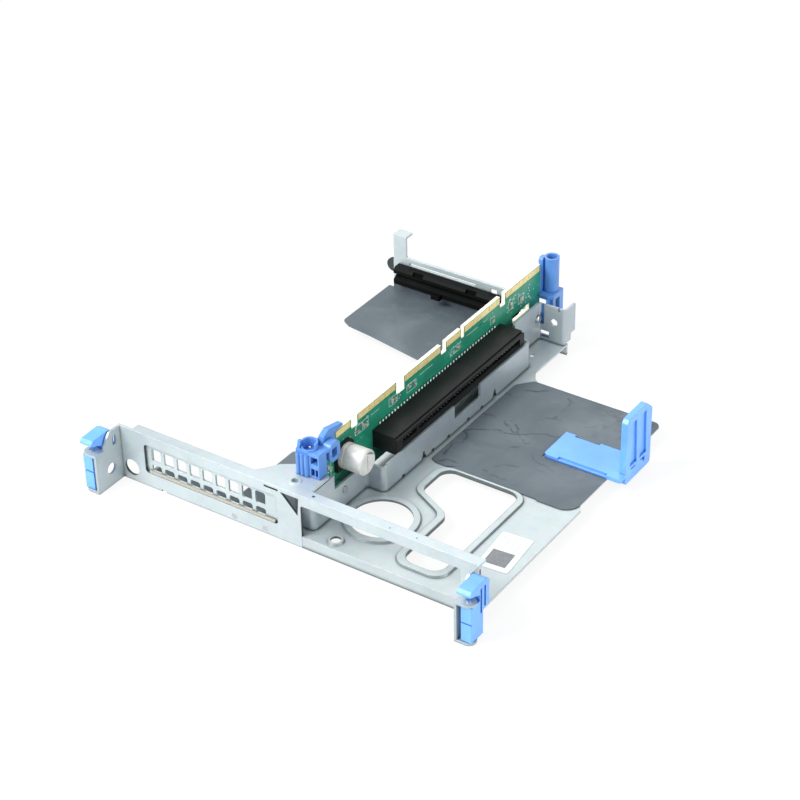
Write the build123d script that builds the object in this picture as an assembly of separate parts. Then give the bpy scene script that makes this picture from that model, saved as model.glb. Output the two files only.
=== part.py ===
"""Riser cage for a low server: folded sheet tray and rear wall, riser board with
one long card slot, plastic guides, latches and a sliding card support.

Working axes, in millimetres: X runs along the rear wall and is zero on the
component face of the riser board, Y runs along the board away from the rear
wall and is zero on the wall's outer face, Z is up and is zero on the tray.
Every piece is moved at the end so that the origin lies on the axis of the
rimmed datum hole, level with the top of the tray.
"""
import os
from build123d import *

# Length of the riser board; the far end of the cage follows it
BOARD_BACK = 168.0
BRACKET_BACK = BOARD_BACK - 6.5
TRAY_END = BRACKET_BACK + 1.5

# Sheet metal
SHEET = 1.0
BEND = 1.6
LIP_DROP = 5.0
FIT_GAP = 0.1
SHARP = 0.55

# Tray outline
TRAY_RIGHT = 78.0
TRAY_STEP_Y = 67.0
TRAY_RIGHT_BACK = 76.0
TRAY_BACK = 130.0
TRAY_LEFT = -3.0
STRIP_RIGHT = 16.5
CORNER_LEFT = -32.0
CORNER_BACK = 42.0
SHELF_LEFT = -69.0
SHELF_BACK = 9.0
STRIP_HOLE_X = 8.8
STRIP_HOLE_Y = BRACKET_BACK - 13.6
STRIP_HOLE_R = 1.2
FOOT_RELIEFS = (50.2, 70.1, 80.9, 94.9, 104.5)
FOOT_NICKS = (64.0, 113.9)

# Datum hole with its raised rim
HOLE_X = 14.2
HOLE_Y = 4.3
HOLE_R = 2.0
HOLE_RIM_R = 3.3
RIM_RISE = 0.8

# Beaded cut-outs of the tray
ROUND_X = 20.7
ROUND_Y = 23.6
ROUND_R = 11.6
BEAD = 2.9
BOOT_LEFT = 22.8
BOOT_RIGHT = 55.8
BOOT_HEEL = 39.5
BOOT_FRONT = 7.5
BOOT_BACK = 62.9
BOOT_BACK_BEAD = 0.9
BOOT_KINK_Y0 = 38.0
BOOT_KINK_Y1 = 46.5

# Folded board bracket
BRACKET_X = 4.5
SUPPORT_X = 12.3
BRACKET_FRONT = 5.0
SUPPORT_Y0 = 38.0
SUPPORT_Y1 = 141.0
EAR_X = 16.8
EAR_LENGTH = 6.6
BRACKET_TOP = 16.6
LOW_TOP = 10.5
LOW_Y0 = 18.0
SUPPORT_TOP = 11.4
FOOT_BACK = 5.0
NOTCH_Y0 = 85.3
NOTCH_Y1 = 103.6
NOTCH_TOP = 5.5
REAR_HOLE_X = 11.2
REAR_HOLE_Z = 9.4
REAR_HOLE_R = 1.7

# Rear wall
WALL_LEFT = -81.0
WALL_RIGHT = 77.0
WALL_TOP = 18.0
FLANGE_DEPTH = 4.2
EAR_REACH = 14.4
EAR_STEP_Y = -9.6
EAR_STEP_Z = 12.0
WINDOW_X0 = 2.4
WINDOW_X1 = 69.5
WINDOW_Z1 = 13.5
FILLER_X0 = -69.0
FILLER_X1 = -8.0
FILLER_Z0 = 1.2
FILLER_Z1 = 13.6
GUSSET_X0 = -21.5
V_NOTCH = [(-6.4, 16.2), (1.0, 8.6), (1.6, 16.2)]
GUSSET_BACK = 15.5
GUSSET_HOLE_X = -4.3
GUSSET_HOLE_Y = 6.4
GUSSET_HOLE_R = 1.3

# Blank filler and gasket
FILLER_SHEET = 0.8
FILLER_SETBACK = 1.2
VENT_COLUMNS = 9
VENT_PITCH = 6.0
VENT_WIDTH = 4.5
VENT_CORNER = 0.6
GASKET_HEIGHT = 1.1

# Riser board
BOARD_THICK = 1.6
BOARD_FRONT = 16.2
BOARD_BOTTOM = 2.6
BOARD_SHOULDER = 26.9
BOARD_TOP = 29.4
FINGER_START = 25.5
KEYS = [
    (35.5, 39.3, 4.3), (64.5, 69.8, 5.6), (94.9, 98.4, 4.3), (109.0, 111.1, 4.3), (137.4, 141.1, 5.0),
]
FINGER_END = 0.5
FINGER_HEIGHT = 3.4
FINGER_DROP = 0.25
FINGER_SKIN = 0.05
BOARD_SLOT_Y0 = BRACKET_BACK - 14.5
BOARD_SLOT_Y1 = BRACKET_BACK - 1.7
BOARD_SLOT_Z0 = 12.6
BOARD_SLOT_Z1 = 15.6

# Card slot
SLOT_FRONT = 48.5
SLOT_LENGTH = 89.0
SLOT_REACH = 11.25
SLOT_WIDTH = 7.4
SLOT_BOTTOM = 9.9
MOUTH_WIDTH = 1.9
MOUTH_DEPTH = 8.2
MOUTH_END = 3.2
KEY_WEB_Y = 63.5
KEY_WEB = 1.7
CONTACT_PITCH = 2.0
CONTACT_WIDTH = 0.9
CONTACT_COUNT = 41
CONTACT_POCKET = 1.1
TAIL_HEIGHT = 1.5

# Capacitor
CAP_Y = 29.4
CAP_Z = 18.0
CAP_R = 5.0
CAP_BASE = 1.6
CAP_LENGTH = 9.6
CAP_GROOVE = 0.5
CAP_EDGE = 0.5

# Films, label and support slider
FILM = 0.4
FILM_FRONT = BOOT_BACK + BOOT_BACK_BEAD + 0.3
FILM_BACK = 131.2
FILM_RIGHT = 76.4
LEFT_FILM_X = -70.4
LEFT_FILM_LENGTH = 46.5
LEFT_FILM_SLANT = 12.6
LABEL_X = 68.2
LABEL_Y = 31.0
LABEL_W = 12.4
LABEL_L = 21.5
LABEL_TURN = 5.0
LABEL_THICK = 0.12
SLIDER_X0 = 49.4
SLIDER_X1 = 82.0
SLIDER_Y0 = 88.8
SLIDER_Y1 = 105.8
SLIDER_PLATE = 1.6
SLIDER_TRAVEL = 12.0
SLIDER_GAP = 0.12
UPRIGHT_Y0 = 92.6
UPRIGHT_Y1 = 111.6
UPRIGHT_TOP = 25.5
UPRIGHT_THICK = 2.4
RUNNER_X0 = 54.3
RUNNER_LENGTH = 6.0
RUNNER_WIDTH = 2.4
RUNNER_SPREAD = 5.6
FOOT = 1.1

# Rear rail and card guide
RAIL_LEFT = -61.7
RAIL_RIGHT = -2.2
RAIL_LIP_RIGHT = 10.0
RAIL_TOP = 16.0
RAIL_FOOT = 14.0
TAB_LEFT = -67.9
TAB_TOP = 25.6
TAB_BEND = 4.0
DISC_R = 3.1
DISC_Z = 10.8
GUIDE_LEFT = -65.4
GUIDE_RIGHT = -6.0
GUIDE_DEPTH = 4.2
GUIDE_Z0 = 4.2
LEFT_FILM_RISE = GUIDE_Z0 - 0.3
GUIDE_Z1 = 12.4

# Front guide clip
CLIP_LEFT = -7.0
CLIP_RIGHT = 3.0
DECK = 1.2
RING_X = -3.0
RING_Y = 14.2
RING_R = 3.1
RING_WALL = 0.7
RING_TOP = 31.0
HOOK_RIGHT = 3.6

# Rear guide post and its hollow stand
POST_X = 2.5
POST_SETBACK = 5.0
POST_Y = BOARD_BACK + POST_SETBACK
POST_R = 3.1
POST_TOP = 31.4
STAND_RIGHT = 6.2
STAND_BACK = POST_Y + POST_R + 0.3
STAND_FOOT = 5.4
STAND_TOP = 16.2
STAND_WALL = 1.4

# Latches, turning on upright pins held in lugs of the ears
LATCH_GAP = 0.3
LATCH_REACH = 5.6
LATCH_TOP = 18.2
LATCH_BACK = -2.6
LATCH_NOSE = -15.2
LATCH_WAIST = 6.4
LATCH_END_GAP = 0.1
LUG_HALF = 2.8
PIVOT_OUT = 3.2
PIVOT_Y = -11.6
PIVOT_R = 1.0
PIVOT_CLEARANCE = 0.06
PIVOT_RISE = 0.6
SHOE_INNER = 1.8
SHOE_OUTER = 2.4
SHOE_FRONT = 2.2
EAR_HOLE_Y = -6.4
EAR_HOLE_Z = 2.4
EAR_HOLE_R = 2.3

# Small fasteners
RIVET_R = 1.2
RIVET_HEAD_R = 1.9
RIVET_HEAD = 0.7
RIVET_Z = -3.0
WALL_RIVETS = (-28.0, -14.0)
RAIL_RIVETS = (-0.4, 7.0)
STANDOFF_R = 2.4
STANDOFFS = [(24.0, 7.0), (BRACKET_BACK - 2.9, 9.6)]
SCREW_R = 1.25
SCREW_HEAD_R = 2.5
SCREW_HEAD = 1.2


def block(x0, x1, y0, y1, z0, z1):
    """A square-edged block between two corners."""
    size = Box(x1 - x0, y1 - y0, z1 - z0)
    return Pos((x0 + x1) / 2, (y0 + y1) / 2, (z0 + z1) / 2) * size


def outline(points, radius):
    """A closed outline; corners that would be very small are left sharp."""
    if radius < SHARP:
        return make_face(Polyline(*points, close=True))
    return make_face(FilletPolyline(*points, radius=radius, close=True))


def plan(points, radius, z0, z1):
    """A rounded outline drawn from above and given height."""
    return Pos(0, 0, z0) * extrude(outline(points, radius), z1 - z0)


def front_view(points, radius, y0, y1):
    """A rounded outline of X and Z, running from y0 to y1."""
    face = Plane((0, y1, 0), x_dir=(1, 0, 0), z_dir=(0, -1, 0)) * outline(points, radius)
    return extrude(face, y1 - y0)


def side_view(points, radius, x0, x1):
    """A rounded outline of Y and Z, running from x0 to x1."""
    face = Plane((x0, 0, 0), x_dir=(0, 1, 0), z_dir=(1, 0, 0)) * outline(points, radius)
    return extrude(face, x1 - x0)


def rod_x(radius, x0, x1, y, z):
    """A round rod along X."""
    return Pos((x0 + x1) / 2, y, z) * Rot(0, 90, 0) * Cylinder(radius, x1 - x0)


def rod_y(radius, y0, y1, x, z):
    """A round rod along Y."""
    return Pos(x, (y0 + y1) / 2, z) * Rot(90, 0, 0) * Cylinder(radius, y1 - y0)


def rod_z(radius, z0, z1, x, y):
    """A round rod along Z."""
    return Pos(x, y, (z0 + z1) / 2) * Cylinder(radius, z1 - z0)


def rect(x0, x1, y0, y1):
    """The four corners of a rectangle."""
    return [(x0, y0), (x1, y0), (x1, y1), (x0, y1)]


def boot_points(grow=0.0):
    """Corners of the large cut-out, or of its bead, which is narrow beside the film."""
    back = BOOT_BACK + min(grow, BOOT_BACK_BEAD)
    return [
        (BOOT_LEFT - grow, back),
        (BOOT_RIGHT + grow, back),
        (BOOT_RIGHT + grow, BOOT_FRONT - grow),
        (BOOT_HEEL - grow, BOOT_FRONT - grow),
        (BOOT_HEEL - grow, BOOT_KINK_Y0 - 0.4 * grow),
        (BOOT_LEFT - grow, BOOT_KINK_Y1 - 0.4 * grow),
    ]


def bead(outer, inner):
    """A pressed bead: its raised skin, the hollow below it and the opening."""
    skin = extrude(outer, RIM_RISE, taper=35)
    hollow = Pos(0, 0, -SHEET) * skin
    opening = Pos(0, 0, -2 * SHEET) * extrude(inner, 4 * SHEET)
    return skin, hollow, opening


def tray_beads():
    """Outer and inner outlines of the two large beads."""
    round_outer = Pos(ROUND_X, ROUND_Y) * Circle(ROUND_R + BEAD)
    round_inner = Pos(ROUND_X, ROUND_Y) * Circle(ROUND_R)
    boot_outer = outline(boot_points(BEAD), 6.0)
    boot_inner = outline(boot_points(), 5.0)
    hole_outer = Pos(HOLE_X, HOLE_Y) * Circle(HOLE_RIM_R)
    hole_inner = Pos(HOLE_X, HOLE_Y) * Circle(HOLE_R)
    return [(round_outer, round_inner), (boot_outer, boot_inner), (hole_outer, hole_inner)]


def board_bracket():
    """Folded wall that carries the board, drawn as a path seen from above."""
    mid = SHEET / 2
    path = FilletPolyline(
        (GUSSET_X0 + 18.0, BRACKET_FRONT + mid),
        (BRACKET_X - mid, BRACKET_FRONT + mid),
        (BRACKET_X - mid, SUPPORT_Y0 + mid),
        (SUPPORT_X - mid, SUPPORT_Y0 + mid),
        (SUPPORT_X - mid, SUPPORT_Y1 - mid),
        (BRACKET_X - mid, SUPPORT_Y1 - mid),
        (BRACKET_X - mid, BRACKET_BACK - mid),
        (EAR_X - mid, BRACKET_BACK - mid),
        (EAR_X - mid, BRACKET_BACK + EAR_LENGTH),
        radius=BEND,
    )
    wall = extrude(trace(path, line_width=SHEET), BRACKET_TOP)
    foot = block(FOOT_BACK, SUPPORT_X - mid, SUPPORT_Y0 + BEND + SHEET, SUPPORT_Y1 - BEND - SHEET, 0, SHEET)
    wall = wall + foot
    reach = 40.0
    back0 = BRACKET_BACK - 3
    back1 = BRACKET_BACK + 1
    ear_middle = BRACKET_BACK + 0.5 * EAR_LENGTH
    ear_end = BRACKET_BACK + EAR_LENGTH + 1
    cuts = [
        side_view(rect(LOW_Y0, SUPPORT_Y0 + 2 * SHEET, LOW_TOP, reach), 0.8, -reach, SUPPORT_X + 1),
        side_view(rect(SUPPORT_Y0, SUPPORT_Y1 + SHEET, SUPPORT_TOP, reach), 0.8, BRACKET_X + 1, SUPPORT_X + 1),
        side_view(rect(NOTCH_Y0, NOTCH_Y1, NOTCH_TOP, reach), 1.0, BRACKET_X + 1, SUPPORT_X + 1),
        front_view(rect(BRACKET_X + 0.4, BRACKET_X + 4.6, 0.8, 4.4), 0, back0, back1),
        front_view(rect(BRACKET_X + 0.4, BRACKET_X + 2.2, 7.2, reach), 0, back0, back1),
        rod_y(REAR_HOLE_R, back0, back1, REAR_HOLE_X, REAR_HOLE_Z),
        front_view(rect(EAR_X - 3.6, EAR_X - 2.9, BRACKET_TOP - 1.6, reach), 0, back0, back1),
        side_view(rect(ear_middle, ear_end, -2, 4.2), 0, EAR_X - 2, EAR_X + 1),
        block(GUSSET_X0, EAR_X + 1, BRACKET_BACK + 0.01, ear_end, -1, 1.2),
    ]
    foot_x = (SUPPORT_X - SHEET - 0.2, SUPPORT_X + 1)
    cuts += [side_view(rect(y - 0.9, y + 0.9, -1, SHEET), 0, *foot_x) for y in FOOT_RELIEFS]
    cuts += [side_view([(y - 2.0, -1), (y + 2.0, -1), (y + 0.4, 3.4), (y - 0.4, 3.4)], 0, *foot_x) for y in FOOT_NICKS]
    for item in cuts:
        wall = wall - item
    for y, z in STANDOFFS:
        wall = wall - rod_x(SCREW_R + 0.05, BRACKET_X - 2, BRACKET_X + 1, y, z)
    return wall


def base_tray():
    """Folded tray with beaded cut-outs, lips and foot reliefs."""
    edge = SHEET + FIT_GAP
    floor_points = [
        (SHELF_LEFT, edge),
        (WINDOW_X0 - 2.0, edge),
        (WINDOW_X0 - 2.0, SHEET),
        (WINDOW_X0 + FIT_GAP, SHEET),
        (WINDOW_X0 + FIT_GAP, 0.6),
        (WINDOW_X1 - FIT_GAP, 0.6),
        (WINDOW_X1 - FIT_GAP, edge),
        (TRAY_RIGHT, edge),
        (TRAY_RIGHT, TRAY_STEP_Y),
        (TRAY_RIGHT_BACK, TRAY_STEP_Y + 3),
        (TRAY_RIGHT_BACK, TRAY_BACK),
        (STRIP_RIGHT + 7, TRAY_BACK),
        (STRIP_RIGHT + 2.6, TRAY_BACK + 3.4),
        (STRIP_RIGHT, TRAY_BACK + 8.0),
        (STRIP_RIGHT, TRAY_END),
        (TRAY_LEFT, TRAY_END),
        (TRAY_LEFT, CORNER_BACK),
        (CORNER_LEFT, CORNER_BACK),
        (CORNER_LEFT, SHELF_BACK),
        (SHELF_LEFT, SHELF_BACK),
    ]
    tray = Pos(0, 0, -SHEET) * extrude(make_face(Polyline(*floor_points, close=True)), SHEET)
    tray = tray + side_view(
        [(0, -LIP_DROP), (SHEET, -LIP_DROP), (SHEET, -SHEET), (2 * SHEET, -SHEET), (2 * SHEET, 0), (0, 0)],
        0, WINDOW_X0 + FIT_GAP, WINDOW_X1 - FIT_GAP)
    tray = tray + block(SHELF_LEFT, WINDOW_X0 - 2.0, edge, edge + SHEET, -LIP_DROP + 0.6, 0)
    tray = tray + block(TRAY_LEFT, STRIP_RIGHT, TRAY_END - SHEET, TRAY_END, -LIP_DROP, 0)
    for outer, inner in tray_beads():
        skin, hollow, hole = bead(outer, inner)
        tray = tray + skin
        tray = tray - hollow
        tray = tray - hole
    slot_x1 = RUNNER_X0 + RUNNER_LENGTH + SLIDER_TRAVEL + 0.4
    for side in (-1, 1):
        middle = runner_y(side)
        half = RUNNER_WIDTH / 2 + 0.3
        tray = tray - block(RUNNER_X0 - 0.4, slot_x1, middle - half, middle + half, -2, 1)
    tray = tray - rod_z(STRIP_HOLE_R, -2, 1, STRIP_HOLE_X, STRIP_HOLE_Y)
    for x in WALL_RIVETS:
        tray = tray - rod_y(RIVET_R, SHEET, 3 * SHEET, x, RIVET_Z)
    for x in RAIL_RIVETS:
        tray = tray - rod_y(RIVET_R, TRAY_END - 2, TRAY_END + 1, x, RIVET_Z)
    return tray


def runner_y(side):
    """Y of the middle of a slider runner, for side -1 or 1."""
    return (SLIDER_Y0 + SLIDER_Y1) / 2 + side * RUNNER_SPREAD


def ear_profile():
    """Side outline of an end ear, as Y and Z."""
    return [
        (SHEET, -LIP_DROP),
        (SHEET, WALL_TOP),
        (-5.6, WALL_TOP),
        (-7.6, WALL_TOP - 1.8),
        (EAR_STEP_Y, EAR_STEP_Z),
        (-EAR_REACH, EAR_STEP_Z),
        (-EAR_REACH, -LIP_DROP + 0.6),
        (-EAR_REACH + 2.0, -LIP_DROP),
    ]


def ear_face(side):
    """X of the outer face of the ear on side -1 or 1."""
    return WALL_RIGHT if side > 0 else WALL_LEFT


def beside(side, near, far):
    """X range beside the ear on side -1 or 1, from two distances off its face."""
    return sorted((ear_face(side) + side * near, ear_face(side) + side * far))


def pivot_x(side):
    """X of the upright pin of the latch on side -1 or 1."""
    return ear_face(side) + side * PIVOT_OUT


def latch_lugs(side):
    """Round-ended lugs, folded out from an ear, that hold the pin of its latch."""
    x0, x1 = beside(side, -SHEET, PIVOT_OUT)
    lugs = []
    for z0 in (-LIP_DROP, EAR_STEP_Z - SHEET):
        strap = block(x0, x1, PIVOT_Y - LUG_HALF, PIVOT_Y + LUG_HALF, z0, z0 + SHEET)
        lugs.append(strap + rod_z(LUG_HALF, z0, z0 + SHEET, pivot_x(side), PIVOT_Y))
    return lugs


def io_wall():
    """Folded rear wall with rail, window, filler opening, gusset and two ears."""
    section = [
        (0, -LIP_DROP), (SHEET, -LIP_DROP), (SHEET, WALL_TOP - SHEET),
        (FLANGE_DEPTH, WALL_TOP - SHEET), (FLANGE_DEPTH, WALL_TOP), (0, WALL_TOP),
    ]
    wall = side_view(section, 0.4, WALL_LEFT, WALL_RIGHT)
    wall = wall + side_view(ear_profile(), 0.9, WALL_LEFT, WALL_LEFT + SHEET)
    wall = wall + side_view(ear_profile(), 0.9, WALL_RIGHT - SHEET, WALL_RIGHT)
    gusset = [
        (GUSSET_X0, FLANGE_DEPTH - 1.0), (GUSSET_X0 + 3.2, 7.0), (GUSSET_X0 + 6.5, 11.9),
        (GUSSET_X0 + 12.0, GUSSET_BACK), (BRACKET_X, GUSSET_BACK), (BRACKET_X, FLANGE_DEPTH - 1.0),
    ]
    wall = wall + plan(gusset, 0.8, WALL_TOP - SHEET, WALL_TOP)
    boss = Pos(GUSSET_HOLE_X, GUSSET_HOLE_Y, WALL_TOP - 0.1) * Cone(3.0, 2.4, 0.8)
    wall = wall + boss - rod_z(GUSSET_HOLE_R, WALL_TOP - 3, WALL_TOP + 3, GUSSET_HOLE_X, GUSSET_HOLE_Y)
    window = rect(WINDOW_X0, WINDOW_X1, -LIP_DROP - 1, WINDOW_Z1)
    wall = wall - front_view(window, 1.0, -1, 2 * SHEET)
    opening = rect(FILLER_X0, FILLER_X1, FILLER_Z0, FILLER_Z1)
    wall = wall - front_view(opening, 1.4, -1, 2 * SHEET)
    wall = wall - rod_y(3.4, -1, 2 * SHEET, -75.6, 0.8)
    wall = wall - front_view(V_NOTCH, 0, -1, 2 * SHEET)
    wall = wall - front_view(rect(-13.6, -7.4, 16.0, 16.8), 0, -1, 2 * SHEET)
    wall = wall - rod_z(0.6, WALL_TOP - 3, WALL_TOP + 1, 6.9, 2.2)
    for x in (-62.0, 53.0):
        wall = wall - front_view(rect(x, x + 2.4, -LIP_DROP - 1, -LIP_DROP + 0.8), 0.3, -1, 2 * SHEET)
    for x in (WALL_LEFT, WALL_RIGHT - SHEET):
        wall = wall - rod_x(EAR_HOLE_R, x - 1, x + SHEET + 1, EAR_HOLE_Y, EAR_HOLE_Z)
        wall = wall - side_view(rect(-4.6, -2.6, 11.6, 15.6), 0.7, x - 1, x + SHEET + 1)
    for side in (-1, 1):
        wall = wall + latch_lugs(side) - rod_z(PIVOT_R, -LIP_DROP - 1, EAR_STEP_Z + 1, pivot_x(side), PIVOT_Y)
    for x in WALL_RIVETS:
        wall = wall - rod_y(RIVET_R, -1, 2 * SHEET, x, RIVET_Z)
    trim = block(WALL_LEFT - 1, -74.5, SHEET, FLANGE_DEPTH + 1, WALL_TOP - 2 * SHEET, WALL_TOP + 1)
    return wall - trim


def vent_points(x, z0, z1):
    """A vent hole with cut corners, from its left edge."""
    cut = VENT_CORNER
    x1 = x + VENT_WIDTH
    return [
        (x + cut, z0), (x1 - cut, z0), (x1, z0 + cut), (x1, z1 - cut),
        (x1 - cut, z1), (x + cut, z1), (x, z1 - cut), (x, z0 + cut),
    ]


def blank_filler():
    """Recessed perforated filler behind the left opening."""
    y0 = SHEET + FIT_GAP
    y1 = y0 + FILLER_SHEET
    body = front_view(rect(FILLER_X0 - 2.4, FILLER_X1 + 2.0, FILLER_Z0 - 0.6, FILLER_Z1 + 2.2), 2.2, y0, y1)
    for column in range(VENT_COLUMNS):
        x = FILLER_X0 + 2.4 + column * VENT_PITCH
        body = body - front_view(vent_points(x, 6.4, 11.8), 0, y0 - 1, y1 + 1)
        body = body - front_view(vent_points(x, 2.0, 4.9), 0, y0 - 1, y1 + 1)
    hook = front_view(rect(FILLER_X0 - 2.4, FILLER_X0 + 1.0, FILLER_Z0, FILLER_Z1), 1.0, y1 - 0.2, y1 + 5.0)
    inner = front_view(
        rect(FILLER_X0 - 2.4 + FILLER_SHEET, FILLER_X0 + 2.0, FILLER_Z0 - 1, FILLER_Z1 + 1), 0.8, y1, y1 + 6.0)
    return body + (hook - inner)


def emi_gasket():
    """Fabric-covered strip on the lower edge of the filler opening."""
    section = [(0.2, FILLER_Z0), (0.9, FILLER_Z0), (0.9, FILLER_Z0 + GASKET_HEIGHT), (0.2, FILLER_Z0 + GASKET_HEIGHT)]
    return side_view(section, 0.25, FILLER_X0 + 1.6, FILLER_X1 - 1.6)


def rear_rail():
    """Angle-section rail behind the board with an upright tab."""
    front = TRAY_END
    y1 = front + SHEET
    sheet = front_view(
        [(TAB_LEFT, 0), (RAIL_RIGHT, 0), (RAIL_RIGHT, RAIL_TOP), (RAIL_LEFT, RAIL_TOP),
         (RAIL_LEFT, TAB_TOP), (TAB_LEFT, TAB_TOP)], 0.6, front, y1)
    foot = block(TAB_LEFT, TRAY_LEFT - FIT_GAP, y1 - RAIL_FOOT, y1, -SHEET, 0)
    lower = block(TAB_LEFT, RAIL_LIP_RIGHT, front, y1, -LIP_DROP, 0.5)
    top = plan(rect(TAB_LEFT, RAIL_LEFT, front, y1 + TAB_BEND), 0, TAB_TOP - SHEET, TAB_TOP)
    disc = rod_y(DISC_R, front, y1, TAB_LEFT - 0.4, DISC_Z)
    rail = sheet + foot + lower + top + disc
    rail = rail - front_view(rect(RAIL_LEFT + 1.6, -27.5, 12.9, 14.0), 0.4, front - 1, y1 + 1)
    rail = rail - front_view(rect(-20.4, -17.2, 12.0, 14.2), 0.3, front - 1, y1 + 1)
    for x in RAIL_RIVETS:
        rail = rail - rod_y(RIVET_R, front - 1, y1 + 1, x, RIVET_Z)
    return rail


def card_guide():
    """Plastic guide with a V groove along the rail."""
    back = TRAY_END
    front = back - GUIDE_DEPTH
    middle = (GUIDE_Z0 + GUIDE_Z1) / 2
    section = [
        (back, GUIDE_Z0), (back, GUIDE_Z1), (front + 1.0, GUIDE_Z1), (front, GUIDE_Z1 - 1.2),
        (front, middle + 1.5), (front + 2.2, middle), (front, middle - 1.5), (front, GUIDE_Z0 + 0.8),
        (front + 0.8, GUIDE_Z0),
    ]
    face = make_face(Polyline(*section, close=True))
    guide = extrude(Plane((GUIDE_LEFT, 0, 0), x_dir=(0, 1, 0), z_dir=(1, 0, 0)) * face, GUIDE_RIGHT - GUIDE_LEFT)
    lug = plan(rect(-46.0, -41.6, front - 1.8, front + 1.0), 0.6, GUIDE_Z0, GUIDE_Z0 + 2.2)
    guide = guide + lug
    for x in (-56.0, -30.0, -14.0):
        guide = guide - plan(rect(x, x + 5.0, front - 1, front + 1.4), 0.5, GUIDE_Z1 - 1.6, GUIDE_Z1 + 1)
    return guide


def riser_board():
    """Circuit board with the notched finger edge."""
    points = [
        (BOARD_FRONT, BOARD_BOTTOM), (BOARD_BACK, BOARD_BOTTOM), (BOARD_BACK, BOARD_TOP),
        (FINGER_START, BOARD_TOP), (FINGER_START, BOARD_SHOULDER), (BOARD_FRONT, BOARD_SHOULDER),
    ]
    board = side_view(points, 0.5, -BOARD_THICK, 0)
    for y0, y1, depth in KEYS:
        notch = rect(y0, y1, BOARD_TOP - depth, BOARD_TOP + 4)
        board = board - side_view(notch, 0.6, -BOARD_THICK - 1, 1)
    slot = rect(BOARD_SLOT_Y0, BOARD_SLOT_Y1, BOARD_SLOT_Z0, BOARD_SLOT_Z1)
    board = board - side_view(slot, 0.5, -BOARD_THICK - 1, 1)
    for y, z in STANDOFFS:
        board = board - rod_x(SCREW_R + 0.2, -BOARD_THICK - 1, 1, y, z)
    return board


def finger_runs():
    """Stretches of the upper edge that carry contacts, as start and end."""
    starts = [FINGER_START] + [key[1] for key in KEYS]
    ends = [key[0] for key in KEYS] + [BOARD_BACK]
    return list(zip(starts, ends))


def edge_contacts():
    """Thin contact bands on both faces of the upper edge."""
    solids = []
    z1 = BOARD_TOP - FINGER_DROP
    z0 = z1 - FINGER_HEIGHT
    for start, end in finger_runs():
        y0 = start + FINGER_END
        y1 = end - FINGER_END
        solids.append(block(0, FINGER_SKIN, y0, y1, z0, z1))
        solids.append(block(-BOARD_THICK - FINGER_SKIN, -BOARD_THICK, y0, y1, z0, z1))
    return Compound(solids)


def slot_centre_z():
    """Height of the middle of the card slot."""
    return SLOT_BOTTOM + SLOT_WIDTH / 2


def slot_housing():
    """Card slot housing with a mouth, a key web and contact pockets."""
    z0 = SLOT_BOTTOM
    z1 = SLOT_BOTTOM + SLOT_WIDTH
    middle = slot_centre_z()
    y0 = SLOT_FRONT
    y1 = SLOT_FRONT + SLOT_LENGTH
    section = [
        (0.05, z0), (SLOT_REACH - 1.2, z0), (SLOT_REACH - 1.2, z0 + 0.7), (SLOT_REACH, z0 + 0.7),
        (SLOT_REACH, z1 - 0.7), (SLOT_REACH - 1.2, z1 - 0.7), (SLOT_REACH - 1.2, z1), (0.05, z1),
    ]
    face = make_face(Polyline(*section, close=True))
    body = extrude(Plane((0, y1, 0), x_dir=(1, 0, 0), z_dir=(0, -1, 0)) * face, SLOT_LENGTH)
    half = MOUTH_WIDTH / 2
    x0 = SLOT_REACH - MOUTH_DEPTH
    body = body - block(x0, SLOT_REACH + 1, y0 + MOUTH_END, KEY_WEB_Y - KEY_WEB / 2, middle - half, middle + half)
    body = body - block(x0, SLOT_REACH + 1, KEY_WEB_Y + KEY_WEB / 2, y1 - MOUTH_END, middle - half, middle + half)
    lead = [
        (SLOT_REACH - 1.0, middle - half), (SLOT_REACH + 1.0, middle - half - 1.8),
        (SLOT_REACH + 1.0, middle + half + 1.8), (SLOT_REACH - 1.0, middle + half),
    ]
    lead_plane = Plane((0, y1 - MOUTH_END, 0), x_dir=(1, 0, 0), z_dir=(0, -1, 0))
    body = body - extrude(lead_plane * make_face(Polyline(*lead, close=True)), SLOT_LENGTH - 2 * MOUTH_END)
    for y in contact_places():
        width = CONTACT_WIDTH / 2 + 0.15
        low = middle - half - CONTACT_POCKET
        high = middle + half + CONTACT_POCKET
        body = body - block(x0 + 0.4, SLOT_REACH - 1.6, y - width, y + width, low, high)
    return body


def contact_places():
    """Y of each contact pair, leaving out the key web."""
    first = SLOT_FRONT + MOUTH_END + 1.3
    places = [first + index * CONTACT_PITCH for index in range(CONTACT_COUNT)]
    return [y for y in places if abs(y - KEY_WEB_Y) > KEY_WEB / 2 + 0.8]


def slot_contacts():
    """Spring contacts in the pockets and their tails on the board."""
    middle = slot_centre_z()
    x0 = SLOT_REACH - MOUTH_DEPTH + 0.6
    x1 = SLOT_REACH - 2.2
    reach = MOUTH_WIDTH / 2 + CONTACT_POCKET - 0.05
    solids = []
    for y in contact_places():
        for side in (-1, 1):
            spring = [
                (x0, middle + side * reach), (0.5 * (x0 + x1), middle + side * 0.8),
                (x1, middle + side * (reach - 0.4)), (0.5 * (x0 + x1), middle + side * 1.15),
            ]
            face = make_face(Polyline(*spring, close=True))
            plane = Plane((0, y + CONTACT_WIDTH / 2, 0), x_dir=(1, 0, 0), z_dir=(0, -1, 0))
            solids.append(extrude(plane * face, CONTACT_WIDTH))
        top = SLOT_BOTTOM + SLOT_WIDTH
        tail = block(0, 0.35, y - CONTACT_WIDTH / 2, y + CONTACT_WIDTH / 2, top + 0.05, top + TAIL_HEIGHT)
        solids.append(tail)
    return Compound(solids)


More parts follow.
